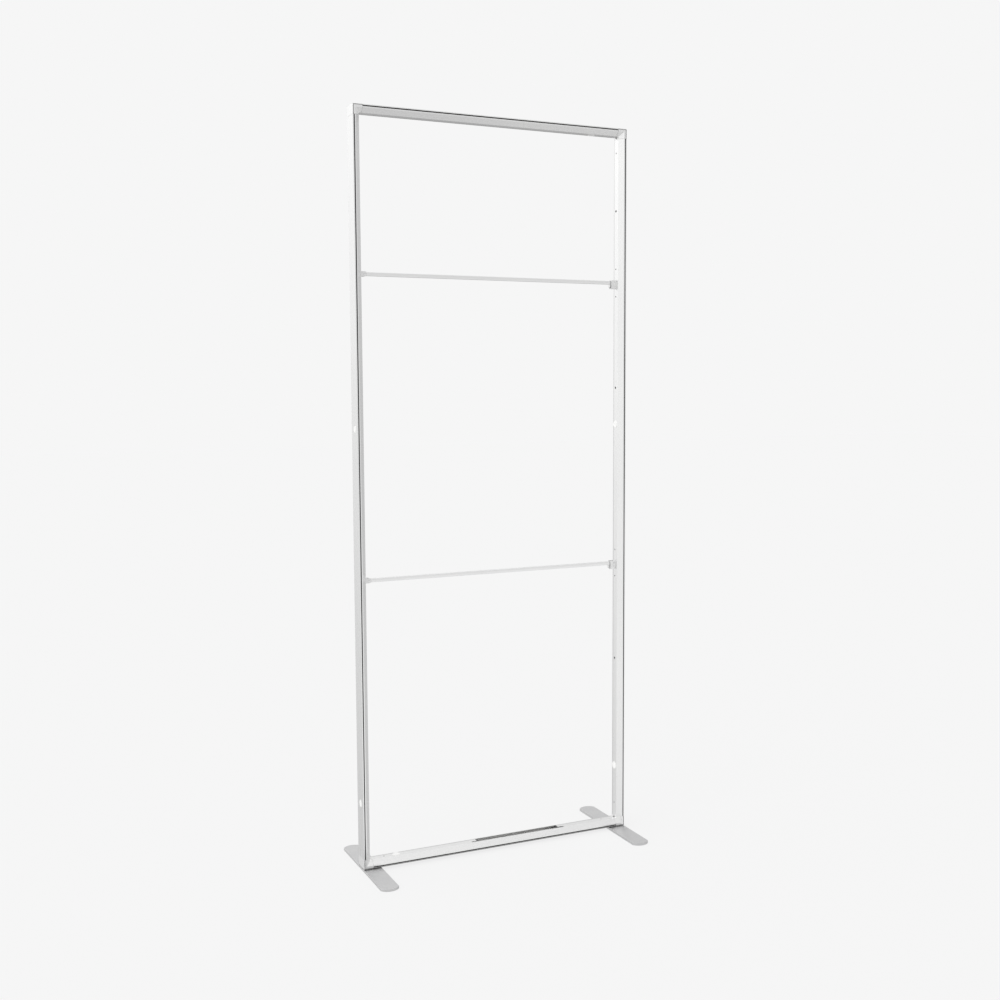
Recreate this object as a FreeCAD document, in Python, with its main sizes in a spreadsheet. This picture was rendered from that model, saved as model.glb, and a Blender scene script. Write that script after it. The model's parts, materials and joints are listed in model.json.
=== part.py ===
import FreeCAD, Part
import math
import os
import re
import Sketcher

# Free-standing partition wall: an aluminium extrusion frame with corner blocks,
# two hinged crossbars that hook into brackets, and two swivelling floor plates.
# Origin: bottom centre, on the floor. X runs along the wall, Y to its back, Z up.

doc = FreeCAD.newDocument("partition_wall")
sheet = doc.addObject("Spreadsheet::Sheet", "sizes")

SIZES = {
    # frame extrusion
    "frame_width": 1000,
    "frame_height": 2500,
    "frame_depth": 60,
    "wall": 2,
    "outer_lip": 3,
    "groove_width": 3.5,
    "groove_depth": 15,
    "front_lip": 3.5,
    "bevel_size": 15,
    # corner blocks
    "block_reach": 8,
    "seam_gap": 0.3,
    "block_lip": 1.2,
    "block_groove_width": 2,
    "block_groove_depth": 4,
    # steel angles inside the corners
    "angle_length": 110,
    "angle_clearance": 0.2,
    "clamp_screw_place": 80,
    "clamp_screw_diameter": 6,
    "clamp_screw_length": 12,
    "clamp_screw_recess": 0.5,
    "clamp_screw_socket": 3.5,
    # diagonal lock screws
    "lock_head_diameter": 8.5,
    "lock_head_height": 5,
    "lock_shank_diameter": 5,
    "lock_shank_length": 12,
    "lock_head_recess": 1.5,
    "lock_socket": 4.6,
    # general fits
    "thread_clearance": 0.05,
    "recess_clearance": 0.25,
    "running_gap": 0.3,
    "cut_margin": 1,
    # floor plates
    "foot_length": 427,
    "foot_width": 62,
    "foot_thickness": 8,
    "foot_end_radius": 37,
    "foot_space": 2,
    "washer_diameter": 26,
    "foot_bolt_inset": 16.5,
    "foot_bolt_diameter": 8,
    "foot_bolt_head_diameter": 14,
    "foot_bolt_head_height": 4,
    "foot_bolt_reach": 7.5,
    "foot_bolt_socket": 5.8,
    # crossbars
    "lower_bar_height": 970,
    "upper_bar_drop": 530,
    "bar_size": 12,
    "bar_wall": 1.5,
    "bar_corner": 1.5,
    "tang_length": 25,
    "tang_clearance": 0.15,
    # left-hand clevis brackets
    "pivot_offset": 14,
    "clevis_height": 16.5,
    "clevis_base": 3,
    "cheek_thickness": 2,
    "cheek_gap": 0.4,
    "eye_gap": 0.6,
    "neck_length": 1.3,
    "pivot_diameter": 5,
    "pivot_head_diameter": 8,
    "pivot_head_height": 1.2,
    # right-hand hook brackets
    "bracket_reach": 23,
    "bracket_base": 2.5,
    "bracket_rise": 8.5,
    "bracket_drop": 21,
    "keeper_offset": 9,
    "keeper_diameter": 4,
    "keeper_head_diameter": 5.6,
    "upper_keeper_rise": 1,
    "lower_keeper_drop": 11,
    "hook_drop": 17,
    "hook_width": 10,
    "hook_tip_gap": 1.5,
    "slot_clearance": 0.6,
    "stop_thickness": 3,
    "stop_gap": 1.5,
    # bracket screws
    "bracket_screw_diameter": 4,
    "bracket_screw_head": 7.5,
    "bracket_screw_length": 9,
    "upper_screw_rise": 4,
    "lower_screw_drop": 14,
    # holes and plugs in the webs
    "plug_hole_diameter": 24,
    "plug_flange_diameter": 26,
    "plug_flange_thickness": 1,
    "plug_recess": 0.1,
    "plug_skirt_depth": 6,
    "plug_skirt_wall": 1.5,
    "plug_clearance": 0.1,
    "lower_plug_height": 220,
    "upper_plug_height": 1470,
    "rail_plug_place": 125,
    "accessory_hole_diameter": 8,
    "first_accessory_height": 620,
    "second_accessory_height": 1600,
    "third_accessory_drop": 280,
    "spare_hole_diameter": 5,
    "spare_hole_offset": 48,
    # slot in the bottom rail
    "cable_slot_length": 320,
    "cable_slot_width": 26,
    "cable_slot_place": 80,
    "cable_notch_length": 20,
    "cable_notch_width": 8,
}

for row, (alias, value) in enumerate(SIZES.items(), start=1):
    sheet.set("A%d" % row, alias)
    sheet.set("B%d" % row, str(value))
    sheet.setAlias("B%d" % row, alias)
doc.recompute()

# Lengths that follow from the sizes above.
DERIVED = {
    "frame_base": "(foot_thickness + foot_space)",
    "half_depth": "(frame_depth / 2)",
    "half_web": "(frame_depth / 2 - bevel_size)",
    "groove_end": "(outer_lip + groove_width)",
    "groove_back": "(frame_depth / 2 - groove_depth)",
    "channel_back": "(frame_depth / 2 - groove_depth - wall)",
    "rail_height": "(outer_lip + groove_width + front_lip + bevel_size)",
    "block_size": "(outer_lip + groove_width + front_lip + bevel_size + block_reach)",
    "shoulder": "(outer_lip + groove_width + front_lip + bevel_size + block_reach + seam_gap)",
    "bevel_shift": "(wall * (sqrt(2) - 1))",
    "cheek_inner": "(bar_size / 2 + cheek_gap)",
    "cheek_outer": "(bar_size / 2 + cheek_gap + cheek_thickness)",
    "pin_end": "(bar_size / 2 + cheek_gap + cheek_thickness + pivot_head_height)",
    "upper_bar_height": "(frame_height - upper_bar_drop)",
    "third_accessory_height": "(frame_height - third_accessory_drop)",
    "passage_back": "min(channel_back; half_web - bevel_shift)",
    "eye_size": "(bar_size - eye_gap)",
    "eye_length": "((bar_size - eye_gap) / 2 + neck_length)",
    "tang_size": "(bar_size - 2 * bar_wall - 2 * tang_clearance)",
    "keeper_slot": "(keeper_diameter + 2 * slot_clearance)",
    "lock_seat": "(lock_head_recess + lock_head_height)",
    "end_centre": "(foot_length / 2 - foot_end_radius)",
    "plug_skirt_diameter": "(plug_hole_diameter - 2 * plug_clearance)",
}

WORD = re.compile(r"[a-z][a-z_]*")

nodes = []


# ---------------------------------------------------------------- helpers

def spell_out(match):
    """Sheet reference or longer formula that a word in a formula stands for."""
    word = match.group()
    if word in DERIVED:
        return WORD.sub(spell_out, DERIVED[word])
    if word in SIZES:
        return "sizes." + word
    return word


def bind(obj, prop, formula):
    """Tie one property of an object to a formula of sheet values."""
    obj.setExpression(prop, WORD.sub(spell_out, formula))


def place(obj, x, y, z):
    bind(obj, "Placement.Base.x", x)
    bind(obj, "Placement.Base.y", y)
    bind(obj, "Placement.Base.z", z)


def box(name, x, y, z, length, width, height):
    obj = doc.addObject("Part::Box", name)
    bind(obj, "Length", length)
    bind(obj, "Width", width)
    bind(obj, "Height", height)
    place(obj, x, y, z)
    return obj


AXIS_TURNS = {
    "x": FreeCAD.Rotation(FreeCAD.Vector(0, 1, 0), 90),
    "-x": FreeCAD.Rotation(FreeCAD.Vector(0, 1, 0), -90),
    "y": FreeCAD.Rotation(FreeCAD.Vector(1, 0, 0), -90),
    "z": FreeCAD.Rotation(),
    "-z": FreeCAD.Rotation(FreeCAD.Vector(1, 0, 0), 180),
}


def rod(name, diameter, length, turn, x, y, z):
    """Cylinder that starts at a point and runs along the turned Z axis."""
    obj = doc.addObject("Part::Cylinder", name)
    bind(obj, "Radius", "(%s) / 2" % diameter)
    bind(obj, "Height", length)
    obj.Placement = FreeCAD.Placement(FreeCAD.Vector(), turn)
    place(obj, x, y, z)
    return obj


def cone(name, start_diameter, end_diameter, length, turn, x, y, z):
    obj = doc.addObject("Part::Cone", name)
    bind(obj, "Radius1", "(%s) / 2" % start_diameter)
    bind(obj, "Radius2", "(%s) / 2" % end_diameter)
    bind(obj, "Height", length)
    obj.Placement = FreeCAD.Placement(FreeCAD.Vector(), turn)
    place(obj, x, y, z)
    return obj


def socket(name, across, depth, turn, x, y, z):
    """Hexagon recess, measured across its corners."""
    obj = doc.addObject("Part::Prism", name)
    obj.Polygon = 6
    bind(obj, "Circumradius", "(%s) / 2" % across)
    bind(obj, "Height", depth)
    obj.Placement = FreeCAD.Placement(FreeCAD.Vector(), turn)
    place(obj, x, y, z)
    return obj


def fuse(name, parts):
    if len(parts) == 1:
        return parts[0]
    obj = doc.addObject("Part::MultiFuse", name)
    obj.Shapes = parts
    obj.Refine = True
    return obj


def group(name, parts):
    """Separate solids kept as one object, such as a set of equal screws."""
    obj = doc.addObject("Part::Compound", name)
    obj.Links = parts
    return obj


def cut(name, base, tools):
    obj = doc.addObject("Part::Cut", name)
    obj.Base = base
    obj.Tool = fuse(name + "_tools", tools)
    return obj


def node(label, obj):
    obj.Label = label
    nodes.append(obj)
    return obj


def loop(sketch, corners):
    """Closed line loop whose corners are tied to formulas of the sheet."""
    first = sketch.GeometryCount
    count = len(corners)
    spots = []
    for index in range(count):
        turn = 2 * math.pi * index / count
        spots.append(FreeCAD.Vector(100 * math.cos(turn), 100 * math.sin(turn), 0))
    for index in range(count):
        sketch.addGeometry(Part.LineSegment(spots[index], spots[(index + 1) % count]), False)
    for index in range(count):
        joined = Sketcher.Constraint("Coincident", first + index, 2, first + (index + 1) % count, 1)
        sketch.addConstraint(joined)
    for index, corner in enumerate(corners):
        for kind, formula in zip(("DistanceX", "DistanceY"), corner):
            tied = Sketcher.Constraint(kind, -1, 1, first + index, 1, 1.0)
            number = sketch.addConstraint(tied)
            bind(sketch, "Constraints[%d]" % number, formula)


def prism(name, plane_role, offset, length, loops):
    """Body with one padded sketch on one of its own origin planes."""
    body = doc.addObject("PartDesign::Body", name)
    sketch = body.newObject("Sketcher::SketchObject", name + "_section")
    for feature in body.Origin.OriginFeatures:
        if feature.Role == plane_role:
            sketch.AttachmentSupport = [(feature, "")]
    sketch.MapMode = "FlatFace"
    bind(sketch, "AttachmentOffset.Base.z", offset)
    for corners in loops:
        loop(sketch, corners)
    pad = body.newObject("PartDesign::Pad", name + "_pad")
    pad.Profile = sketch
    bind(pad, "Length", length)
    sketch.Visibility = False
    return body


# Corner and side signs: distances are measured inwards from the outer faces.

def across(side, inward):
    """X at a distance inwards from the left or right outer face."""
    if side == "left":
        return "(-frame_width / 2 + (%s))" % inward
    return "(frame_width / 2 - (%s))" % inward


def along(end, inward):
    """Z at a distance inwards from the bottom or top outer face."""
    if end == "bottom":
        return "(frame_base + (%s))" % inward
    return "(frame_base + frame_height - (%s))" % inward


def span_across(side, low, high):
    """Lowest X and length of a stretch between two distances inwards."""
    nearest = low if side == "left" else high
    return across(side, nearest), "(%s) - (%s)" % (high, low)


def span_along(end, low, high):
    nearest = low if end == "bottom" else high
    return along(end, nearest), "(%s) - (%s)" % (high, low)


def frame_box(name, side, end, a_range, b_range, y_range):
    """Box given by distances inwards from a side face and an end face."""
    x, length = span_across(side, *a_range)
    z, height = span_along(end, *b_range)
    return box(name, x, y_range[0], z, length, "(%s) - (%s)" % (y_range[1], y_range[0]), height)


def inward_turn(side):
    return AXIS_TURNS["x"] if side == "left" else AXIS_TURNS["-x"]


def upward_turn(end):
    return AXIS_TURNS["z"] if end == "bottom" else AXIS_TURNS["-z"]


# ---------------------------------------------------------------- section

def half_section():
    """Back half of the outer outline: (distance inwards, depth) pairs."""
    return [
        ("0", "half_depth"),
        ("outer_lip", "half_depth"),
        ("outer_lip", "groove_back"),
        ("groove_end", "groove_back"),
        ("groove_end", "half_depth"),
        ("rail_height - bevel_size", "half_depth"),
        ("rail_height", "half_web"),
    ]


def half_plain_section():
    """Back half of the outer outline without its groove."""
    return [
        ("0", "half_depth"),
        ("rail_height - bevel_size", "half_depth"),
        ("rail_height", "half_web"),
    ]


def half_cavity():
    """Back half of the hollow inside the section."""
    return [
        ("wall", "channel_back"),
        ("groove_end + wall", "channel_back"),
        ("groove_end + wall", "half_depth - wall"),
        ("rail_height - bevel_size - bevel_shift", "half_depth - wall"),
        ("rail_height - wall", "half_web - bevel_shift"),
    ]


def whole(half):
    """Adds the mirrored front half to a back half of an outline."""
    front = [(inward, "-(%s)" % depth) for inward, depth in reversed(half)]
    return half + front


def upright_loops(side, halves):
    return [[(across(side, inward), depth) for inward, depth in whole(half)] for half in halves]


def rail_loops(end, halves):
    return [[(depth, along(end, inward)) for inward, depth in whole(half)] for half in halves]


# ---------------------------------------------------------------- plugs and screws

def plug(name, turn, x, y, z):
    """Push-in plug: a thin flange outside and a hollow skirt through the wall."""
    flange = rod(name + "_flange", "plug_flange_diameter", "plug_flange_thickness", turn, x, y, z)
    skirt = rod(name + "_skirt", "plug_skirt_diameter",
                "plug_flange_thickness + plug_skirt_depth", turn, x, y, z)
    hollow = rod(name + "_hollow", "plug_skirt_diameter - 2 * plug_skirt_wall",
                 "plug_skirt_depth + cut_margin", turn, x, y, z)
    return flange, skirt, hollow


def upright_plug(name, side, face, height):
    """Plug in an upright, pushed in from its outer face or from its web."""
    if face == "outer":
        turn = inward_turn(side)
        start = "plug_recess"
        hollow_start = "plug_recess + plug_flange_thickness"
    else:
        turn = inward_turn("right" if side == "left" else "left")
        start = "rail_height + plug_flange_thickness"
        hollow_start = "rail_height"
    flange, skirt, hollow = plug(name, turn, across(side, start), "0", along("bottom", height))
    place(hollow, across(side, hollow_start), "0", along("bottom", height))
    return cut(name, fuse(name + "_solid", [flange, skirt]), [hollow])


def rail_plug(name, end, x):
    """Plug pushed into the web of the top or bottom rail."""
    turn = upward_turn("top" if end == "bottom" else "bottom")
    start = along(end, "rail_height + plug_flange_thickness")
    flange, skirt, hollow = plug(name, turn, x, "0", start)
    place(hollow, x, "0", along(end, "rail_height"))
    return cut(name, fuse(name + "_solid", [flange, skirt]), [hollow])


def clamp_screw(name, turn, x, z):
    """Grub screw with a hexagon socket, which runs from the web into the angle."""
    shank = rod(name + "_shank", "clamp_screw_diameter", "clamp_screw_length", turn, x, "0", z)
    recess = socket(name + "_socket", "clamp_screw_socket", "clamp_screw_diameter / 2", turn, x, "0", z)
    return cut(name, shank, [recess])


# ---------------------------------------------------------------- uprights

BAR_LEVELS = {"lower": "lower_bar_height", "upper": "upper_bar_height"}


def web_hole(name, side, diameter, height, depth="wall"):
    """Round hole through the inner web of an upright."""
    start = across(side, "rail_height - %s - cut_margin" % depth)
    return rod(name, diameter, "%s + 2 * cut_margin" % depth, inward_turn(side), start, "0", height)


def bracket_screw_heights(side, level):
    """Heights of the screws that hold a crossbar's bracket to an upright."""
    bar = along("bottom", BAR_LEVELS[level])
    if side == "left":
        return [bar]
    return ["%s + upper_screw_rise" % bar, "%s - lower_screw_drop" % bar]


def upright(side):
    name = side + "_upright"
    body = prism(name + "_extrusion", "XY_Plane", along("bottom", "shoulder"),
                 "frame_height - 2 * shoulder",
                 upright_loops(side, [half_section(), half_cavity()]))
    holes = []
    for spot in ("lower", "upper"):
        height = along("bottom", spot + "_plug_height")
        holes.append(rod(name + "_plug_hole_" + spot, "plug_hole_diameter",
                         "rail_height + 2 * cut_margin", inward_turn(side),
                         across(side, "-cut_margin"), "0", height))
        holes.append(rod(name + "_plug_seat_" + spot, "plug_flange_diameter + 2 * recess_clearance",
                         "cut_margin + plug_recess + plug_flange_thickness", inward_turn(side),
                         across(side, "-cut_margin"), "0", height))
    for spot in ("first", "second", "third"):
        height = along("bottom", spot + "_accessory_height")
        holes.append(web_hole(name + "_accessory_" + spot, side, "accessory_hole_diameter", height))
    for end in ("bottom", "top"):
        holes.append(web_hole(name + "_clamp_" + end, side,
                              "clamp_screw_diameter + 2 * recess_clearance",
                              along(end, "clamp_screw_place")))
    for level in BAR_LEVELS:
        bar = along("bottom", BAR_LEVELS[level])
        for sign in ("+", "-"):
            holes.append(web_hole("%s_spare_%s_%s" % (name, level, "up" if sign == "+" else "down"),
                                  side, "spare_hole_diameter", "%s %s spare_hole_offset" % (bar, sign)))
        for number, height in enumerate(bracket_screw_heights(side, level)):
            holes.append(web_hole("%s_screw_%s_%d" % (name, level, number), side,
                                  "bracket_screw_diameter + 2 * thread_clearance", height))
    node(name, cut(name + "_cut", body, holes))


# ---------------------------------------------------------------- rails

def rail(end):
    name = end + "_rail"
    body = prism(name + "_extrusion", "YZ_Plane", across("left", "shoulder"),
                 "frame_width - 2 * shoulder",
                 rail_loops(end, [half_section(), half_cavity()]))
    web_start = along(end, "rail_height - wall - cut_margin")
    plug_side = "left" if end == "bottom" else "right"
    holes = [rod(name + "_plug_hole", "plug_hole_diameter", "wall + 2 * cut_margin",
                 upward_turn(end), across(plug_side, "rail_plug_place"), "0", web_start)]
    for side in ("left", "right"):
        holes.append(rod(name + "_clamp_" + side, "clamp_screw_diameter + 2 * recess_clearance",
                         "wall + 2 * cut_margin", upward_turn(end),
                         across(side, "clamp_screw_place"), "0", web_start))
    if end == "bottom":
        holes.append(box(name + "_slot", "cable_slot_place - cable_slot_length / 2",
                         "-cable_slot_width / 2", web_start, "cable_slot_length",
                         "cable_slot_width", "wall + 2 * cut_margin"))
        holes.append(box(name + "_notches",
                         "cable_slot_place - cable_slot_length / 2 - cable_notch_length",
                         "-cable_slot_width / 2", web_start,
                         "cable_slot_length + 2 * cable_notch_length",
                         "cable_notch_width", "wall + 2 * cut_margin"))
    node(name, cut(name + "_cut", body, holes))


# ---------------------------------------------------------------- corners

DIAGONALS = {
    ("left", "bottom"): 45,
    ("right", "bottom"): -45,
    ("left", "top"): 135,
    ("right", "top"): -135,
}


def diagonal_turn(side, end):
    return FreeCAD.Rotation(FreeCAD.Vector(0, 1, 0), DIAGONALS[side, end])


def diagonal_rod(name, side, end, diameter, start, length):
    """Rod on the corner's diagonal; start is measured from the inner corner outwards."""
    offset = "rail_height - (%s) / sqrt(2)" % start
    return rod(name, diameter, length, diagonal_turn(side, end), across(side, offset), "0",
               along(end, offset))


def corner_block(side, end):
    name = "corner_block_%s_%s" % (end, side)
    standing = prism(name + "_standing", "XY_Plane", span_along(end, "0", "block_size")[0],
                     "block_size", upright_loops(side, [half_plain_section()]))
    lying = prism(name + "_lying", "YZ_Plane", span_across(side, "0", "block_size")[0],
                  "block_size", rail_loops(end, [half_plain_section()]))
    far = "block_size + cut_margin"
    groove = ("block_lip", "block_lip + block_groove_width")
    tools = [
        frame_box(name + "_passage_up", side, end, ("wall", "rail_height - wall"), ("wall", far),
                  ("-passage_back", "passage_back")),
        frame_box(name + "_passage_in", side, end, ("wall", far), ("wall", "rail_height - wall"),
                  ("-passage_back", "passage_back")),
        diagonal_rod(name + "_recess", side, end, "lock_head_diameter + 2 * recess_clearance",
                     "lock_seat", "block_size"),
    ]
    faces = {
        "front": ("-half_depth - cut_margin", "-half_depth + block_groove_depth"),
        "back": ("half_depth - block_groove_depth", "half_depth + cut_margin"),
    }
    for face, depth in faces.items():
        tools.append(frame_box("%s_%s_groove_up" % (name, face), side, end, groove,
                               ("block_lip", far), depth))
        tools.append(frame_box("%s_%s_groove_in" % (name, face), side, end, ("block_lip", far),
                               groove, depth))
    if end == "bottom":
        tools.append(rod(name + "_bolt_hole", "foot_bolt_diameter + 2 * recess_clearance",
                         "wall + 2 * cut_margin", AXIS_TURNS["z"],
                         across(side, "foot_bolt_inset"), "0", along(end, "-cut_margin")))
    node(name, cut(name + "_cut", fuse(name + "_outline", [standing, lying]), tools))


def corner_angle(side, end):
    """Steel angle whose arms slide into the upright and the rail."""
    name = "corner_angle_%s_%s" % (end, side)
    low = "wall + angle_clearance"
    high = "rail_height - wall - angle_clearance"
    depth = ("-(passage_back - angle_clearance)", "passage_back - angle_clearance")
    arms = [
        frame_box(name + "_up", side, end, (low, high), (low, "angle_length"), depth),
        frame_box(name + "_in", side, end, (low, "angle_length"), (low, high), depth),
    ]
    thread = "clamp_screw_diameter + 2 * thread_clearance"
    thread_start = "rail_height - clamp_screw_recess - clamp_screw_length - cut_margin"
    tools = [
        diagonal_rod(name + "_head_seat", side, end, "lock_head_diameter + 2 * recess_clearance",
                     "lock_seat", "block_size"),
        diagonal_rod(name + "_thread", side, end, "lock_shank_diameter + 2 * thread_clearance",
                     "lock_seat + lock_shank_length + cut_margin", "block_size"),
        rod(name + "_thread_up", thread, "rail_height", inward_turn(side),
            across(side, thread_start), "0", along(end, "clamp_screw_place")),
        rod(name + "_thread_in", thread, "rail_height", upward_turn(end),
            across(side, "clamp_screw_place"), "0", along(end, thread_start)),
    ]
    if end == "bottom":
        tools.append(rod(name + "_bolt_thread", "foot_bolt_diameter + 2 * thread_clearance",
                         "foot_bolt_reach + 2 * cut_margin", AXIS_TURNS["z"],
                         across(side, "foot_bolt_inset"), "0", along(end, "-cut_margin")))
    node(name, cut(name + "_cut", fuse(name + "_arms", arms), tools))


def lock_screw(side, end):
    """Cap screw on the corner's diagonal, reached from inside the frame."""
    name = "lock_screw_%s_%s" % (end, side)
    head = diagonal_rod(name + "_head", side, end, "lock_head_diameter", "lock_seat",
                        "lock_head_height")
    shank = diagonal_rod(name + "_shank", side, end, "lock_shank_diameter",
                         "lock_seat + lock_shank_length", "lock_shank_length + lock_head_height / 2")
    floor = "rail_height - (lock_seat - lock_head_height / 2) / sqrt(2)"
    recess = socket(name + "_socket", "lock_socket", "lock_head_height", diagonal_turn(side, end),
                    across(side, floor), "0", along(end, floor))
    node(name, cut(name + "_cut", fuse(name + "_solid", [head, shank]), [recess]))


def clamp_screws(side, end):
    name = "clamp_screws_%s_%s" % (end, side)
    start = "rail_height - clamp_screw_recess"
    outward_side = inward_turn("right" if side == "left" else "left")
    outward_end = upward_turn("top" if end == "bottom" else "bottom")
    pair = [
        clamp_screw(name + "_up", outward_side, across(side, start), along(end, "clamp_screw_place")),
        clamp_screw(name + "_in", outward_end, across(side, "clamp_screw_place"), along(end, start)),
    ]
    node(name, group(name + "_pair", pair))


# ---------------------------------------------------------------- floor plates

def foot(side):
    """Flat plate with shallow round ends, turning on a bolt under the corner block."""
    name = "foot_" + side
    left = span_across(side, "0", "foot_width")[0]
    middle = across(side, "foot_width / 2")
    bolt = across(side, "foot_bolt_inset")
    strip = box(name + "_strip", left, "-foot_length / 2", "0", "foot_width", "foot_length",
                "foot_thickness")
    straight = box(name + "_straight", left, "-end_centre", "0", "foot_width", "2 * end_centre",
                   "foot_thickness")
    ends = [rod("%s_end_%s" % (name, label), "2 * foot_end_radius", "foot_thickness",
                AXIS_TURNS["z"], middle, sign + "end_centre", "0")
            for label, sign in (("front", "-"), ("back", ""))]
    outline = doc.addObject("Part::MultiCommon", name + "_outline")
    outline.Shapes = [strip, fuse(name + "_rounded", [straight] + ends)]
    tools = [
        rod(name + "_hole", "foot_bolt_diameter + 2 * thread_clearance",
            "foot_thickness + 2 * cut_margin", AXIS_TURNS["z"], bolt, "0", "-cut_margin"),
        rod(name + "_counterbore", "foot_bolt_head_diameter + 4 * recess_clearance",
            "foot_bolt_head_height + 2 * running_gap + cut_margin", AXIS_TURNS["z"], bolt, "0",
            "-cut_margin"),
    ]
    node(name, cut(name + "_cut", outline, tools))

    washer = rod(name + "_washer_disc", "washer_diameter", "foot_space - running_gap",
                 AXIS_TURNS["z"], bolt, "0", "foot_thickness + running_gap")
    washer_hole = rod(name + "_washer_hole", "foot_bolt_diameter + 2 * recess_clearance",
                      "foot_space + cut_margin", AXIS_TURNS["z"], bolt, "0", "foot_thickness")
    node("foot_washer_" + side, cut(name + "_washer", washer, [washer_hole]))

    head = rod(name + "_bolt_head", "foot_bolt_head_diameter", "foot_bolt_head_height",
               AXIS_TURNS["z"], bolt, "0", "running_gap")
    shank = rod(name + "_bolt_shank", "foot_bolt_diameter",
                "frame_base + foot_bolt_reach - running_gap", AXIS_TURNS["z"], bolt, "0",
                "running_gap")
    recess = socket(name + "_bolt_socket", "foot_bolt_socket", "foot_bolt_head_height",
                    AXIS_TURNS["z"], bolt, "0", "running_gap - foot_bolt_head_height / 2")
    node("foot_bolt_" + side, cut(name + "_bolt", fuse(name + "_bolt_solid", [head, shank]),
                                  [recess]))


# ---------------------------------------------------------------- crossbars

PIVOT_X = across("left", "rail_height + pivot_offset")
TUBE_START = across("left", "rail_height + pivot_offset + eye_length")
TUBE_END = across("right", "rail_height + bracket_reach + stop_gap + stop_thickness")
KEEPER_X = across("right", "rail_height + keeper_offset")


def rounded_bar(name, x, length, size, corner, z):
    """Square bar along X with rounded long edges."""
    half = "(%s) / 2" % size
    flat = "(%s) - 2 * (%s)" % (size, corner)
    wide = box(name + "_wide", x, "-(%s)" % half, "%s - (%s) / 2" % (z, flat), length, size, flat)
    tall = box(name + "_tall", x, "-(%s) / 2" % flat, "%s - %s" % (z, half), length, flat, size)
    edges = []
    for y_sign in ("-", ""):
        for z_sign in ("-", "+"):
            spot = "%s_edge_%s%s" % (name, "front" if y_sign else "back", "low" if z_sign == "-" else "high")
            edges.append(rod(spot, "2 * (%s)" % corner, length, AXIS_TURNS["x"], x,
                             "%s(%s) / 2" % (y_sign, flat), "%s %s (%s) / 2" % (z, z_sign, flat)))
    return fuse(name, [wide, tall] + edges)


def crossbar(level):
    """Square tube with an eye on its left end and a slotted hook on its right end."""
    z = along("bottom", BAR_LEVELS[level])
    name = "crossbar_" + level
    outside = rounded_bar(name + "_outside", TUBE_START, "%s - %s" % (TUBE_END, TUBE_START),
                          "bar_size", "bar_corner", z)
    inside = box(name + "_inside", "%s - cut_margin" % TUBE_START, "-(bar_size / 2 - bar_wall)",
                 "%s - (bar_size / 2 - bar_wall)" % z,
                 "%s - %s + 2 * cut_margin" % (TUBE_END, TUBE_START),
                 "bar_size - 2 * bar_wall", "bar_size - 2 * bar_wall")
    node(name, cut(name + "_tube", outside, [inside]))

    name = "pivot_end_" + level
    eye_low = "%s - eye_size / 2" % z
    tang_low = "%s - tang_size / 2" % z
    solids = [
        rod(name + "_round", "eye_size", "eye_size", AXIS_TURNS["y"], PIVOT_X, "-eye_size / 2", z),
        box(name + "_neck", PIVOT_X, "-eye_size / 2", eye_low, "eye_length", "eye_size", "eye_size"),
        box(name + "_tang", PIVOT_X, "-tang_size / 2", tang_low, "eye_length + tang_length",
            "tang_size", "tang_size"),
    ]
    bore = rod(name + "_bore", "pivot_diameter + 2 * thread_clearance", "bar_size",
               AXIS_TURNS["y"], PIVOT_X, "-bar_size / 2", z)
    node(name, cut(name + "_cut", fuse(name + "_solid", solids), [bore]))

    name = "hook_end_" + level
    hook_low = "%s - hook_drop" % z
    hook_height = "hook_drop + eye_size / 2"
    tip = across("right", "rail_height + bracket_base + hook_tip_gap")
    solids = [
        box(name + "_tang", "%s - tang_length" % TUBE_END, "-tang_size / 2", tang_low,
            "tang_length + stop_thickness", "tang_size", "tang_size"),
        box(name + "_stop", TUBE_END, "-eye_size / 2", hook_low, "stop_thickness", "eye_size",
            hook_height),
        box(name + "_tongue", TUBE_END, "-hook_width / 2", hook_low, "%s - %s" % (tip, TUBE_END),
            "hook_width", hook_height),
    ]
    slot_rise = "upper_keeper_rise + running_gap - slot_clearance"
    rounded = rod(name + "_slot_top", "keeper_slot", "hook_width + 2 * cut_margin", AXIS_TURNS["y"],
                  KEEPER_X, "-hook_width / 2 - cut_margin", "%s + %s" % (z, slot_rise))
    straight = box(name + "_slot", "%s - keeper_slot / 2" % KEEPER_X, "-hook_width / 2 - cut_margin",
                   hook_low + " - cut_margin", "keeper_slot", "hook_width + 2 * cut_margin",
                   "hook_drop + cut_margin + " + slot_rise)
    node(name, cut(name + "_cut", fuse(name + "_solid", solids), [rounded, straight]))


CHEEKS = {"front": "-cheek_outer", "back": "cheek_inner"}


def riveted_pin(name, diameter, head_diameter, x, z):
    """Pin across a bracket's two cheeks, with a flat head on each outer face."""
    parts = [rod(name + "_shank", diameter, "2 * pin_end", AXIS_TURNS["y"], x, "-pin_end", z)]
    for face, start in (("front", "-pin_end"), ("back", "cheek_outer")):
        parts.append(rod("%s_%s_head" % (name, face), head_diameter, "pivot_head_height",
                         AXIS_TURNS["y"], x, start, z))
    return fuse(name + "_solid", parts)


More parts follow.
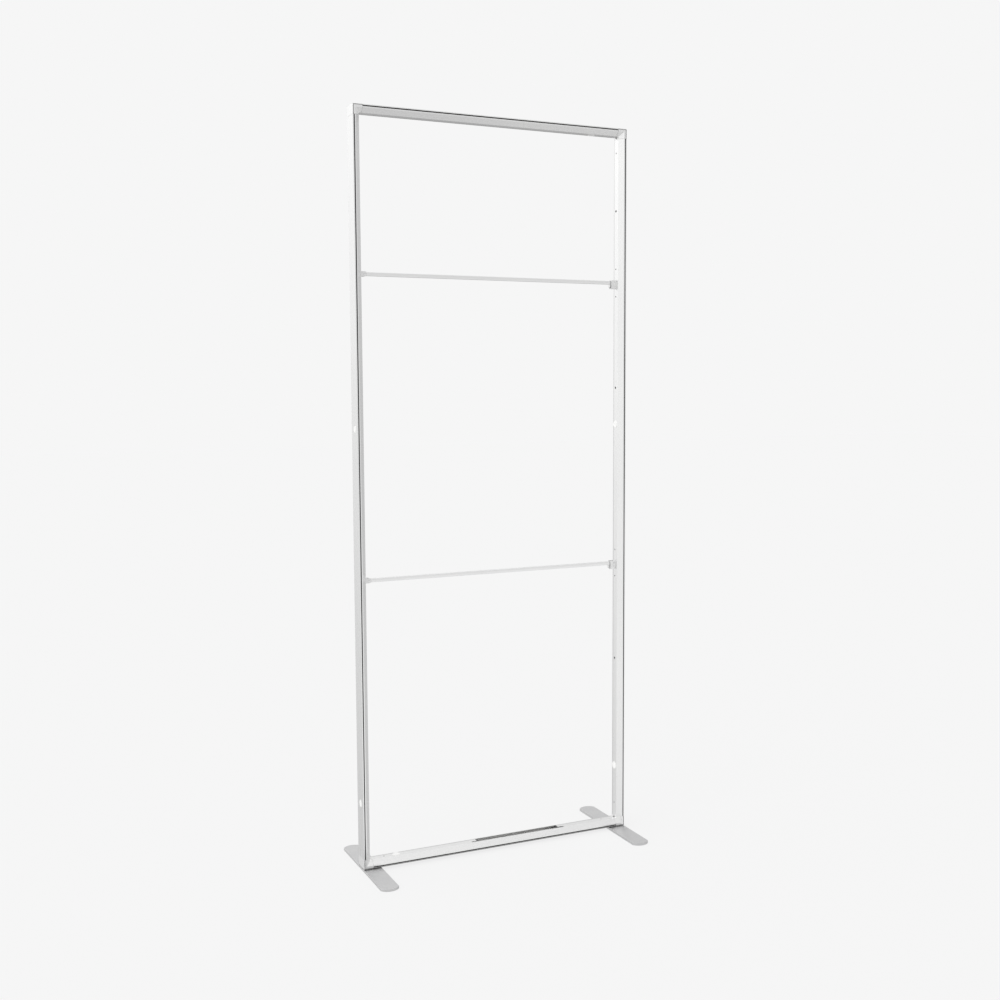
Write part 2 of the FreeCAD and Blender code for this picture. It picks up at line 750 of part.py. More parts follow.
def clevis(level):
    """Left-hand bracket: two round-nosed cheeks that hold the crossbar's pivot pin."""
    z = along("bottom", BAR_LEVELS[level])
    web = across("left", "rail_height")
    name = "clevis_" + level
    low = "%s - clevis_height / 2" % z
    solids = [box(name + "_base", web, "-cheek_outer", low, "clevis_base", "2 * cheek_outer",
                  "clevis_height")]
    for face, start in CHEEKS.items():
        solids.append(box("%s_%s_cheek" % (name, face), web, start, low, "pivot_offset",
                          "cheek_thickness", "clevis_height"))
        solids.append(rod("%s_%s_nose" % (name, face), "clevis_height", "cheek_thickness",
                          AXIS_TURNS["y"], PIVOT_X, start, z))
    tools = [
        rod(name + "_pin_hole", "pivot_diameter + 2 * thread_clearance",
            "2 * cheek_outer + 2 * cut_margin", AXIS_TURNS["y"], PIVOT_X,
            "-cheek_outer - cut_margin", z),
        countersink(name, "left", z, "clevis_base"),
        screw_hole(name, "left", z, "clevis_base"),
    ]
    node(name, cut(name + "_cut", fuse(name + "_solid", solids), tools))

    name = "pivot_pin_" + level
    node(name, riveted_pin(name, "pivot_diameter", "pivot_head_diameter", PIVOT_X, z))


def countersink(name, side, z, thickness):
    """Conical seat for a screw head that ends flush with a bracket's base."""
    turn = inward_turn("right" if side == "left" else "left")
    depth = "(bracket_screw_head - bracket_screw_diameter) / 2"
    return cone(name + "_countersink", "bracket_screw_head + 2 * thread_clearance",
                "bracket_screw_diameter + 2 * thread_clearance", depth, turn,
                across(side, "rail_height + " + thickness), "0", z)


def screw_hole(name, side, z, thickness):
    return rod(name + "_screw_hole", "bracket_screw_diameter + 2 * thread_clearance",
               thickness + " + 2 * cut_margin", inward_turn(side),
               across(side, "rail_height - cut_margin"), "0", z)


def bracket_screw(name, side, z, thickness):
    """Countersunk screw through a bracket's base and the upright's web."""
    turn = inward_turn("right" if side == "left" else "left")
    top = across(side, "rail_height + " + thickness)
    head = cone(name + "_head", "bracket_screw_head", "bracket_screw_diameter",
                "(bracket_screw_head - bracket_screw_diameter) / 2", turn, top, "0", z)
    shank = rod(name + "_shank", "bracket_screw_diameter", "bracket_screw_length", turn, top, "0", z)
    recess = socket(name + "_socket", "bracket_screw_diameter * 0.6", "bracket_screw_diameter / 4",
                    turn, top, "0", z)
    return cut(name, fuse(name + "_solid", [head, shank]), [recess])


def hook_bracket(level):
    """Right-hand bracket: a pocket, open at the top, with two keeper pins across it."""
    z = along("bottom", BAR_LEVELS[level])
    web = across("right", "rail_height")
    front = across("right", "rail_height + bracket_reach")
    low = "%s - bracket_drop" % z
    tall = "bracket_drop + bracket_rise"
    name = "hook_bracket_" + level
    solids = [
        box(name + "_base", "%s - bracket_base" % web, "-cheek_outer", low, "bracket_base",
            "2 * cheek_outer", tall),
        box(name + "_floor", front, "-cheek_outer", low, "bracket_reach", "2 * cheek_outer",
            "cheek_thickness"),
    ]
    for face, start in CHEEKS.items():
        solids.append(box("%s_%s_cheek" % (name, face), front, start, low, "bracket_reach",
                          "cheek_thickness", tall))
    keepers = {"upper": "%s + upper_keeper_rise" % z, "lower": "%s - lower_keeper_drop" % z}
    tools = []
    for spot, height in keepers.items():
        tools.append(rod("%s_%s_keeper_hole" % (name, spot),
                         "keeper_diameter + 2 * thread_clearance",
                         "2 * cheek_outer + 2 * cut_margin", AXIS_TURNS["y"], KEEPER_X,
                         "-cheek_outer - cut_margin", height))
    for height in bracket_screw_heights("right", level):
        tools.append(countersink(name, "right", height, "bracket_base"))
        tools.append(screw_hole(name, "right", height, "bracket_base"))
    node(name, cut(name + "_cut", fuse(name + "_solid", solids), tools))

    name = "keeper_pins_" + level
    pins = [riveted_pin("%s_%s" % (name, spot), "keeper_diameter", "keeper_head_diameter",
                        KEEPER_X, height)
            for spot, height in keepers.items()]
    node(name, group(name + "_pair", pins))


def bracket_screws(side, level, thickness):
    name = ("clevis_screw_" if side == "left" else "bracket_screws_") + level
    screws = []
    for number, height in enumerate(bracket_screw_heights(side, level)):
        screws.append(bracket_screw("%s_%d" % (name, number), side, height, thickness))
    if len(screws) == 1:
        node(name, screws[0])
    else:
        node(name, group(name + "_pair", screws))


# ---------------------------------------------------------------- assembly

for side in ("left", "right"):
    upright(side)
for end in ("bottom", "top"):
    rail(end)
for end in ("bottom", "top"):
    for side in ("left", "right"):
        corner_block(side, end)
        corner_angle(side, end)
        lock_screw(side, end)
        clamp_screws(side, end)
for side in ("left", "right"):
    foot(side)
for level in BAR_LEVELS:
    crossbar(level)
    clevis(level)
    hook_bracket(level)
    bracket_screws("left", level, "clevis_base")
    bracket_screws("right", level, "bracket_base")
for side in ("left", "right"):
    plugs = []
    for face in ("outer", "web"):
        for spot in ("lower", "upper"):
            plugs.append(upright_plug("plug_%s_%s_%s" % (side, face, spot), side, face,
                                      spot + "_plug_height"))
    node("hole_plugs_" + side, group("plugs_" + side, plugs))
node("hole_plug_bottom", rail_plug("plug_bottom_rail", "bottom", across("left", "rail_plug_place")))
node("hole_plug_top", rail_plug("plug_top_rail", "top", across("right", "rail_plug_place")))

# ---------------------------------------------------------------- check and export

doc.recompute()
for obj in doc.Objects:
    if "Invalid" in obj.State or "Error" in obj.State:
        raise RuntimeError("%s failed: %s" % (obj.Name, obj.State))
os.makedirs("parts", exist_ok=True)
for obj in nodes:
    shape = obj.Shape
    if shape.isNull() or not shape.isValid() or not shape.Solids:
        raise RuntimeError("bad shape: " + obj.Label)
for obj in nodes:
    obj.Shape.exportStep("parts/%s.step" % obj.Label)
print("%d nodes, %d solids" % (len(nodes), sum(len(obj.Shape.Solids) for obj in nodes)))
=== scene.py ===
import json
import math
import bmesh
import bpy
import numpy as np
from mathutils import Matrix, Vector


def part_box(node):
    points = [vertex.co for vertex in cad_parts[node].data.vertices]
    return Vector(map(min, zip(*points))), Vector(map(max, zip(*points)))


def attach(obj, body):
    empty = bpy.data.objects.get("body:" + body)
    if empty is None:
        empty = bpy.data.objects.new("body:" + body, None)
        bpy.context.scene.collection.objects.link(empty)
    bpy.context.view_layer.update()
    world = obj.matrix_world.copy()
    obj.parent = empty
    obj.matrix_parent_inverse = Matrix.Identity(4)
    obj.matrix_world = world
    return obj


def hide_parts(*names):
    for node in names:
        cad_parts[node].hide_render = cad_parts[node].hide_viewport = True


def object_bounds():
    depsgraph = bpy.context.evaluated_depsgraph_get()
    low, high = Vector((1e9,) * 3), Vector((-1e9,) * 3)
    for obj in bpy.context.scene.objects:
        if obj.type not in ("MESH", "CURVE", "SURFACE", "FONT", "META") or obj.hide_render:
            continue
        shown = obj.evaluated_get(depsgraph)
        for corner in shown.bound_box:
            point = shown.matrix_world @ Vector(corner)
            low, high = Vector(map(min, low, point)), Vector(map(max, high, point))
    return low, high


# Partition wall frame: satin aluminium extrusions on two steel floor plates, with two folding bars.

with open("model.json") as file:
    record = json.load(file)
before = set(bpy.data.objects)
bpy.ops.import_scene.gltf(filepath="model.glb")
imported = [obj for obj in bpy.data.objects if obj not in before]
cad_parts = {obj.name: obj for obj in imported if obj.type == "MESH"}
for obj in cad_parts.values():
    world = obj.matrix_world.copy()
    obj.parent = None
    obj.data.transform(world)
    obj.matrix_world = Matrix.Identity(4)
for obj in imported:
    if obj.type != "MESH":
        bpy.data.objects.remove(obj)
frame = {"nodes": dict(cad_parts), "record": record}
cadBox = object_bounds()
nodes = frame["nodes"]
bodyOf = {name: body for body, names in frame["record"]["behaviour"]["bodies"].items() for name in names}
slotOf = {name: node.material_slots[0].name.split(".")[0] for name, node in nodes.items()}
high = np.array(cadBox[1])
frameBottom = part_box("corner_block_bottom_left")[0].z
print("stage: frame loaded,", len(nodes), "nodes")

cameraSetup = {
    "place": (-1.7459, -3.8435, 1.6068),  # in front of the wall's left end
    "lens": 44.34, "sensor": 36,  # mm
    "turn": 24.664,  # degrees to the right of straight ahead
    "dip": 5.137,  # degrees below level
    "roll": -0.291,
    "near": 0.1, "far": 100,
}


def makeCamera(setup):
    turn, dip, roll = (math.radians(setup[key]) for key in ("turn", "dip", "roll"))
    ahead = Vector((math.sin(turn) * math.cos(dip), math.cos(turn) * math.cos(dip), -math.sin(dip)))
    level = Vector((math.cos(turn), -math.sin(turn), 0))
    above = level.cross(ahead)
    right = level * math.cos(roll) + above * math.sin(roll)
    up = above * math.cos(roll) - level * math.sin(roll)
    data = bpy.data.cameras.new("camera")
    data.lens = setup["lens"]
    data.sensor_width = setup["sensor"]
    data.clip_start = setup["near"]
    data.clip_end = setup["far"]
    camera = bpy.data.objects.new("camera", data)
    bpy.context.collection.objects.link(camera)
    turned = Matrix((right, up, -ahead)).transposed().to_4x4()
    camera.matrix_world = Matrix.Translation(setup["place"]) @ turned
    bpy.context.scene.camera = camera


makeCamera(cameraSetup)
bpy.context.scene.view_settings.view_transform = "Standard"
print("stage: camera")


# Node wiring helper: one tree, nodes added and joined by short calls.
class Wiring:
    def __init__(self, tree):
        self.tree = tree

    def add(self, kind, **settings):
        node = self.tree.nodes.new(kind)
        for key, value in settings.items():
            setattr(node, key, value)
        return node

    def join(self, source, target):
        self.tree.links.new(source, target)

    def fill(self, socket, value):
        if isinstance(value, bpy.types.NodeSocket):
            self.join(value, socket)
        else:
            socket.default_value = value

    def math(self, operation, first, second=0.0):
        node = self.add("ShaderNodeMath", operation=operation)
        self.fill(node.inputs[0], first)
        self.fill(node.inputs[1], second)
        return node.outputs[0]

    def ramp(self, value, fromLow, fromHigh, toLow, toHigh, smooth=True):
        node = self.add("ShaderNodeMapRange", interpolation_type="SMOOTHSTEP" if smooth else "LINEAR")
        for socket, entry in zip(node.inputs, (value, fromLow, fromHigh, toLow, toHigh)):
            self.fill(socket, entry)
        return node.outputs[0]

    def scaled(self, vector, scale):
        node = self.add("ShaderNodeMapping")
        self.join(vector, node.inputs["Vector"])
        node.inputs["Scale"].default_value = scale
        return node.outputs[0]

    def noise(self, vector, scale, detail=3.0, rough=0.55):
        node = self.add("ShaderNodeTexNoise")
        self.join(vector, node.inputs["Vector"])
        node.inputs["Scale"].default_value = scale
        node.inputs["Detail"].default_value = detail
        node.inputs["Roughness"].default_value = rough
        return node.outputs["Fac"]

    def tint(self, factor, first, second):
        node = self.add("ShaderNodeMix", data_type="RGBA")
        self.fill(node.inputs["Factor"], factor)
        self.fill(node.inputs[6], first if isinstance(first, bpy.types.NodeSocket) else (*first, 1))
        self.fill(node.inputs[7], second if isinstance(second, bpy.types.NodeSocket) else (*second, 1))
        return node.outputs[2]


# Grooves of the extrusions and blocks: painted shade inside, from a little behind the mouth.
slotShade = {
    "rails": (0.0026, 0.0068), "blocks": (0.0008, 0.0036),  # from where to where, inwards from the frame's edge
    "mouth": 0.0299, "deep": 0.0268,  # |y| where the shade starts and where it is full
    "floor": 0.0148,  # |y| at the groove's floor; the hollow inside of a rail stays light
}
# Fine lines of the extrusions, both painted: a painted shadow along the frame's lowest edge, and a painted shade
# on the webs towards their rear edge.
lineShade = {
    "lowEdgeShadowFull": 0.0018, "lowEdgeShadowEnd": 0.0030, "lowEdgeShadowDark": 0.85,  # heights above the frame's lowest edge
    "rearShadeStart": 0.0075, "rearShadeEnd": 0.0090, "rearShadeDark": 0.24,  # y over which the painted rear shade comes in
    "ridgeFrom": 0.0235,  # inwards from the frame's edge
}


def makeSlotShade(w, point, span):
    # edge distance = least of (half width - |x|), (z - bottom) and (top - z)
    # groove = 1 where the edge distance lies in the span
    # painted shade = greatest of the groove's shade, the painted shadow on the lowest edge (both outside the
    # hollow) and the painted shade on the webs towards their rear edge
    apart = w.add("ShaderNodeSeparateXYZ")
    w.join(point, apart.inputs[0])
    sideways = w.math("SUBTRACT", float(high[0]), w.math("ABSOLUTE", apart.outputs["X"]))
    below = w.math("SUBTRACT", apart.outputs["Z"], float(frameBottom))
    above = w.math("SUBTRACT", float(high[2]), apart.outputs["Z"])
    edge = w.math("MINIMUM", sideways, w.math("MINIMUM", below, above))
    inside = w.math("MULTIPLY", w.math("GREATER_THAN", edge, span[0]), w.math("LESS_THAN", edge, span[1]))
    deep = w.math("ABSOLUTE", apart.outputs["Y"])
    depth = w.ramp(deep, slotShade["deep"], slotShade["mouth"], 1.0, 0.0)
    # painted shadow along the frame's lowest edge
    lowEdgeShadow = w.ramp(below, lineShade["lowEdgeShadowFull"], lineShade["lowEdgeShadowEnd"], lineShade["lowEdgeShadowDark"], 0.0)
    # painted shade on the webs towards their rear edge
    behind = w.ramp(apart.outputs["Y"], lineShade["rearShadeStart"], lineShade["rearShadeEnd"],
                    0.0, lineShade["rearShadeDark"])
    ridge = w.math("MULTIPLY", behind, w.math("GREATER_THAN", edge, lineShade["ridgeFrom"]))
    outside = w.math("GREATER_THAN", deep, slotShade["floor"])
    lines = w.math("MAXIMUM", w.math("MULTIPLY", inside, depth), lowEdgeShadow)
    return w.math("MAXIMUM", w.math("MULTIPLY", lines, outside), ridge)


finishes = {
    # grain: fine marks along x, y and z, in tens per metre; patch: slow patches per metre
    # slot: span of the painted groove shade; slotDark: tone of all painted shade, as a share of the deeper colour
    "uprightAluminium": {"colour": (0.90, 0.90, 0.895), "deeper": (0.87, 0.87, 0.87), "metal": 1.0,
                         "rough": (0.26, 0.36), "grain": (90, 90, 0.8), "patch": 3.0, "bump": 0.05,
                         "slot": "rails", "slotDark": 0.30},
    "railAluminium": {"colour": (0.90, 0.90, 0.895), "deeper": (0.86, 0.86, 0.86), "metal": 1.0,
                      "rough": (0.33, 0.44), "grain": (0.8, 90, 90), "patch": 3.0, "bump": 0.05,
                      "slot": "rails", "slotDark": 0.12},
    "blockAluminium": {"colour": (0.91, 0.91, 0.905), "deeper": (0.88, 0.88, 0.88), "metal": 1.0,
                       "rough": (0.36, 0.46), "grain": (120, 120, 120), "patch": 30.0, "bump": 0.06,
                       "slot": "blocks", "slotDark": 0.60},
    "barAluminium": {"colour": (0.94, 0.94, 0.935), "deeper": (0.90, 0.90, 0.90), "metal": 1.0,
                     "rough": (0.30, 0.42), "grain": (0.8, 110, 110), "patch": 4.0, "bump": 0.05},
    "fittingAluminium": {"colour": (0.86, 0.86, 0.86), "deeper": (0.78, 0.78, 0.78), "metal": 1.0,
                         "rough": (0.34, 0.48), "grain": (140, 140, 140), "patch": 60.0, "bump": 0.08},
    "bracketSteel": {"colour": (0.92, 0.92, 0.915), "deeper": (0.86, 0.86, 0.86), "metal": 1.0,
                     "rough": (0.34, 0.50), "grain": (60, 60, 60), "patch": 80.0, "bump": 0.06},
    "footSteel": {"colour": (0.67, 0.67, 0.67), "deeper": (0.63, 0.63, 0.635), "metal": 1.0,
                  "rough": (0.48, 0.58), "grain": (70, 70, 70), "patch": 9.0, "bump": 0.10},
    "screwSteel": {"colour": (0.70, 0.70, 0.695), "deeper": (0.56, 0.56, 0.565), "metal": 1.0,
                   "rough": (0.28, 0.46), "grain": (180, 180, 180), "patch": 160.0, "bump": 0.05},
    "pinSteel": {"colour": (0.84, 0.84, 0.84), "deeper": (0.76, 0.76, 0.76), "metal": 1.0,
                 "rough": (0.22, 0.36), "grain": (200, 12, 200), "patch": 120.0, "bump": 0.04},
    "innerSteel": {"colour": (0.55, 0.54, 0.52), "deeper": (0.42, 0.41, 0.40), "metal": 1.0,
                   "rough": (0.40, 0.60), "grain": (50, 50, 50), "patch": 70.0, "bump": 0.10},
    "plugPlastic": {"colour": (0.89, 0.89, 0.885), "deeper": (0.86, 0.86, 0.85), "metal": 0.0,
                    "rough": (0.34, 0.44), "grain": (160, 160, 160), "patch": 50.0, "bump": 0.04},
    "washerNylon": {"colour": (0.60, 0.60, 0.59), "deeper": (0.52, 0.52, 0.51), "metal": 0.0,
                    "rough": (0.42, 0.56), "grain": (150, 150, 150), "patch": 50.0, "bump": 0.05},
}
marksLook = {"perGrain": 10.0, "detail": 4.0, "rough": 0.6, "low": 0.3, "high": 0.7, "lift": 0.0002}
patchLook = {"detail": 2.0, "rough": 0.5, "low": 0.35, "high": 0.65, "drift": 0.02}


def makeFinish(name, look):
    # fine marks stretched along the drawing direction set the bump and roughness; slow patches drift the colour
    material = bpy.data.materials.new(name)
    material.use_nodes = True
    w = Wiring(material.node_tree)
    shader = material.node_tree.nodes["Principled BSDF"]
    point = w.add("ShaderNodeTexCoord").outputs["Object"]
    grain = tuple(value * marksLook["perGrain"] for value in look["grain"])
    marks = w.noise(w.scaled(point, grain), 1.0, marksLook["detail"], marksLook["rough"])
    patches = w.noise(point, look["patch"], patchLook["detail"], patchLook["rough"])
    rough = w.ramp(marks, marksLook["low"], marksLook["high"], *look["rough"])
    drift = w.ramp(patches, patchLook["low"], patchLook["high"], -patchLook["drift"], patchLook["drift"])
    w.join(w.math("ADD", rough, drift), shader.inputs["Roughness"])
    average = w.math("ADD", w.math("MULTIPLY", marks, 0.5), w.math("MULTIPLY", patches, 0.5))
    share = w.ramp(average, patchLook["low"], patchLook["high"], 0.0, 1.0)
    colour = w.tint(share, look["colour"], look["deeper"])
    # painted shade darkens the base colour: in the grooves, along the lowest edge and on the webs towards their
    # rear edge
    if "slot" in look:
        shade = makeSlotShade(w, point, slotShade[look["slot"]])
        dark = tuple(value * look["slotDark"] for value in look["deeper"])
        colour = w.tint(shade, colour, dark)
    w.join(colour, shader.inputs["Base Color"])
    shader.inputs["Metallic"].default_value = look["metal"]
    bump = w.add("ShaderNodeBump")
    bump.inputs["Strength"].default_value = look["bump"]
    bump.inputs["Distance"].default_value = marksLook["lift"]
    w.join(marks, bump.inputs["Height"])
    w.join(bump.outputs["Normal"], shader.inputs["Normal"])
    return material


materials = {name: makeFinish(name, look) for name, look in finishes.items()}
finishOfSlot = {
    "frame_aluminium": "uprightAluminium",
    "corner_aluminium": "blockAluminium",
    "inner_steel": "innerSteel",
    "screw_steel": "screwSteel",
    "foot_steel": "footSteel",
    "washer_nylon": "washerNylon",
    "bar_aluminium": "barAluminium",
    "fitting_aluminium": "fittingAluminium",
    "bracket_steel": "bracketSteel",
    "pin_steel": "pinSteel",
    "plug_plastic": "plugPlastic",
}


def finishFor(name):
    return materials["railAluminium" if name.endswith("_rail") else finishOfSlot[slotOf[name]]]


for name, node in nodes.items():
    for slot in node.material_slots:
        slot.material = finishFor(name)
print("stage: finishes,", len(materials))


def settle(piece, name):
    # the piece stands for the CAD node of that name: same body, same slot
    bpy.context.collection.objects.link(piece)
    piece.data.materials.clear()
    piece.data.materials.append(finishFor(name))
    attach(piece, bodyOf[name])
    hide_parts(name)
    return piece


# Machined and extruded pieces: the CAD shape with its sharp edges eased.
easedEdges = {
    "left_upright": 0.0004, "right_upright": 0.0004, "top_rail": 0.0004, "bottom_rail": 0.0004,
    "corner_block_top_left": 0.0005, "corner_block_top_right": 0.0005,
    "corner_block_bottom_left": 0.0005, "corner_block_bottom_right": 0.0005,
    "clevis_lower": 0.0003, "clevis_upper": 0.0003, "pivot_end_lower": 0.0003, "pivot_end_upper": 0.0003,
    "hook_end_lower": 0.0003, "hook_end_upper": 0.0003,
    "hook_bracket_lower": 0.0003, "hook_bracket_upper": 0.0003,
    "foot_left": 0.0009, "foot_right": 0.0009,
}


easing = {"weld": 0.000004, "flat": 0.5, "segments": 2, "sharp": 32, "weight": 100, "alike": 0.01}


def easeEdges(name, width):
    mesh = nodes[name].data.copy()
    work = bmesh.new()
    work.from_mesh(mesh)
    bmesh.ops.remove_doubles(work, verts=work.verts, dist=easing["weld"])
    bmesh.ops.dissolve_limit(work, angle_limit=math.radians(easing["flat"]), verts=work.verts, edges=work.edges)
    for face in work.faces:
        face.smooth = True
    work.to_mesh(mesh)
    work.free()
    piece = bpy.data.objects.new(name + "_eased", mesh)
    bevel = piece.modifiers.new("eased", "BEVEL")
    bevel.width = width
    bevel.segments = easing["segments"]
    bevel.limit_method = "ANGLE"
    bevel.angle_limit = math.radians(easing["sharp"])
    bevel.use_clamp_overlap = True
    weighted = piece.modifiers.new("flatFaces", "WEIGHTED_NORMAL")  # large flat faces keep their own normal
    weighted.mode = "FACE_AREA"
    weighted.weight = easing["weight"]
    weighted.thresh = easing["alike"]
    return settle(piece, name)


for name, width in easedEdges.items():
    easeEdges(name, width)
print("stage: eased pieces,", len(easedEdges))


surface = {"weld": 0.000001, "sharp": 38}


def gridMesh(name, points, closed):
    # points[i, j] is a grid whose columns wrap round; its rows wrap too if closed, or else end in poles
    rows, columns = points.shape[:2]
    row, column = np.meshgrid(np.arange(rows if closed else rows - 1), np.arange(columns), indexing="ij")
    nextRow, nextColumn = (row + 1) % rows, (column + 1) % columns
    quads = np.stack([row * columns + column, row * columns + nextColumn,
                      nextRow * columns + nextColumn, nextRow * columns + column], -1).reshape(-1, 4)
    mesh = bpy.data.meshes.new(name)
    mesh.from_pydata(points.reshape(-1, 3).tolist(), [], quads.tolist())
    work = bmesh.new()
    work.from_mesh(mesh)
    bmesh.ops.remove_doubles(work, verts=work.verts, dist=surface["weld"])
    bmesh.ops.recalc_face_normals(work, faces=work.faces)
    for face in work.faces:
        face.smooth = True
    work.to_mesh(mesh)
    work.free()
    return mesh


def turnedPoints(profile, centre, along, steps=48):
    # profile rows are (reach along the axis, radius, share of a hexagon)
    # point = centre + axis * reach + radius * (cos, sin), the radius pulled in to a hexagon by its share
    axis = np.array(along, float)
    axis /= np.linalg.norm(axis)
    side = np.cross(axis, (0.0, 0.0, 1.0) if abs(axis[2]) < 0.9 else (1.0, 0.0, 0.0))
    side /= np.linalg.norm(side)
    other = np.cross(axis, side)
    turn = np.linspace(0, 2 * math.pi, steps, endpoint=False)
    reach, radius, hexagon = np.array(profile, float).T
    wedge = np.mod(turn, math.pi / 3) - math.pi / 6
    flat = math.cos(math.pi / 6) / np.cos(wedge)
    spread = radius[:, None] * (1 - hexagon[:, None] + hexagon[:, None] * flat[None, :])
    ring = np.cos(turn)[None, :, None] * side + np.sin(turn)[None, :, None] * other
    return np.array(centre, float) + reach[:, None, None] * axis + spread[:, :, None] * ring


def arc(reach, radius, size, start, end, steps=5):
    # rows of a turned profile along an arc: centre (reach, radius) plus size times (cos, sin) of an angle
    angle = np.radians(np.linspace(start, end, steps))
    return [(reach + size * math.cos(a), radius + size * math.sin(a), 0) for a in angle]


def joinMeshes(name, meshes):
    # several closed shells of one node as one mesh
    work = bmesh.new()
    for mesh in meshes:
        work.from_mesh(mesh)
    joined = bpy.data.meshes.new(name)
    work.to_mesh(joined)
    work.free()
    return joined


def turnedPiece(name, shells):
    # shells: (profile, centre, axis, closed); closed profiles run round a ring, open ones from pole to pole
    meshes = [gridMesh(name, turnedPoints(profile, centre, axis), closed)
              for profile, centre, axis, closed in shells]
    mesh = joinMeshes(name, meshes)
    mesh.set_sharp_from_angle(angle=math.radians(surface["sharp"]))
    return settle(bpy.data.objects.new(name + "_turned", mesh), name)


# Moulded hole plugs: a thin flat cap with a shallow ring and a rounded rim, over a tapered skirt.
plug = {
    "rim": 0.0130, "flange": 0.0010, "edge": 0.0007, "skirt": 0.0117, "length": 0.0070, "taper": 0.0004,
    "crown": 0.72, "ringStart": 0.74, "ringWidth": 0.10,  # shares of the rim's radius
    "dimple": 0.00022, "ringSteps": 6,
}


def plugProfile(look):
    # rows from the cap's pole outwards: a shallow ring of sin^2 depth, the rounded edge,
    # the skirt and its closed end
    top, edge = look["flange"], look["edge"]
    steps = look["ringSteps"]
    crown = [(top, radius, 0) for radius in np.linspace(0, look["rim"] * look["crown"], 5)]
    ring = [(top - look["dimple"] * math.sin(math.pi * k / steps) ** 2,
             look["rim"] * (look["ringStart"] + look["ringWidth"] * k / steps), 0) for k in range(1, steps)]
    rim = arc(top - edge, look["rim"] - edge, edge, 0, 90, 6)
    under = [(0.0, look["rim"], 0), (0.0, look["skirt"], 0)]
    end = -look["length"] + look["flange"]
    return crown + ring + rim + under + [(end, look["skirt"] - look["taper"], 0), (end, 0.0, 0)]


def boxOf(name):
    return tuple(np.array(corner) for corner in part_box(name))


def makePlugs():
    profile = plugProfile(plug)
    for side, sign in (("left", -1), ("right", 1)):
        name = "hole_plugs_" + side
        lowest, highest = boxOf(name)
        inner = highest[0] if sign < 0 else lowest[0]
        outer = lowest[0] if sign < 0 else highest[0]
        shells = []
        for z in (lowest[2] + plug["rim"], highest[2] - plug["rim"]):
            shells.append((profile, (inner + sign * plug["flange"], 0, z), (-sign, 0, 0), False))
            shells.append((profile, (outer - sign * plug["flange"], 0, z), (sign, 0, 0), False))
        turnedPiece(name, shells)
    for end, up in (("top", -1), ("bottom", 1)):
        name = "hole_plug_" + end
        lowest, highest = boxOf(name)
        face = highest[2] if up > 0 else lowest[2]
        x = (lowest[0] + highest[0]) / 2
        turnedPiece(name, [(profile, (x, 0, face - up * plug["flange"]), (0, 0, up), False)])


makePlugs()
print("stage: plugs")


# Socket screws: a rounded head with a hexagon socket, and a plain shank.
screws = {
    "fitting": {"head": 0.00375, "headHeight": 0.0019, "shank": 0.0020, "socket": 0.0015, "socketDepth": 0.0014},
    "footBolt": {"head": 0.0070, "headHeight": 0.0040, "shank": 0.0040, "socket": 0.0029, "socketDepth": 0.0028},
}
screwEdges = {"socketLip": 0.0002, "socketFlare": 0.0003, "flareHexagon": 0.6, "head": 0.0004, "cone": 0.0003,
              "tip": 0.0005}


def socketProfile(look, length, straight):
    # rows from the socket's floor up its six walls, over the head, down the cone or side,
    # and along the shank to its tip
    head, shank, socket, depth = look["head"], look["shank"], look["socket"], look["socketDepth"]
    under, edge = -look["headHeight"], screwEdges
    rows = [(-depth, 0, 0), (-depth, socket, 1), (-edge["socketLip"], socket, 1),
            (0.0, socket + edge["socketFlare"], edge["flareHexagon"]), (0.0, head - edge["head"], 0)]
    if straight:  # cylinder head
        rows += [(-edge["head"], head, 0), (under, head, 0), (under, shank, 0)]
    else:  # cone head
        rows += [(-edge["cone"], head, 0), (under, shank, 0)]
    return rows + [(-length + edge["tip"], shank, 0), (-length, shank - edge["tip"], 0), (-length, 0, 0)]


def makeScrews():
    for level in ("lower", "upper"):
        name = "bracket_screws_" + level
        lowest, highest = boxOf(name)
        radius = screws["fitting"]["head"]
        profile = socketProfile(screws["fitting"], highest[0] - lowest[0], False)
        shells = [(profile, (lowest[0], 0, z), (-1, 0, 0), False)
                  for z in (lowest[2] + radius, highest[2] - radius)]
        turnedPiece(name, shells)
        name = "clevis_screw_" + level
        lowest, highest = boxOf(name)
        profile = socketProfile(screws["fitting"], highest[0] - lowest[0], False)
        turnedPiece(name, [(profile, (highest[0], 0, (lowest[2] + highest[2]) / 2), (1, 0, 0), False)])
    for side in ("left", "right"):
        name = "foot_bolt_" + side
        lowest, highest = boxOf(name)
        profile = socketProfile(screws["footBolt"], highest[2] - lowest[2], True)
        turnedPiece(name, [(profile, ((lowest[0] + highest[0]) / 2, 0, lowest[2]), (0, 0, -1), False)])


makeScrews()
print("stage: screws")


# Riveted pins: a shank with a low domed head at each end.
pins = {
    "pivot": {"head": 0.0040, "shank": 0.0025, "thick": 0.0012},
    "keeper": {"head": 0.0028, "shank": 0.0020, "thick": 0.0012},
}
pinHead = {"dome": 0.55, "under": 0.98}  # shares of the head's thickness and of its radius


def pinProfile(look, half):
    # rows from one pole over a dome, lower by (r / head)^2, to the shank, mirrored about the middle
    radius = np.linspace(0, look["head"], 7)
    dome = [(half - look["thick"] * pinHead["dome"] * (r / look["head"]) ** 2, r, 0) for r in radius]
    under = half - look["thick"]
    root = [(under, look["head"] * pinHead["under"], 0), (under, look["shank"], 0)]
    rows = dome + root
    return rows + [(-reach, r, 0) for reach, r, _ in reversed(rows)]


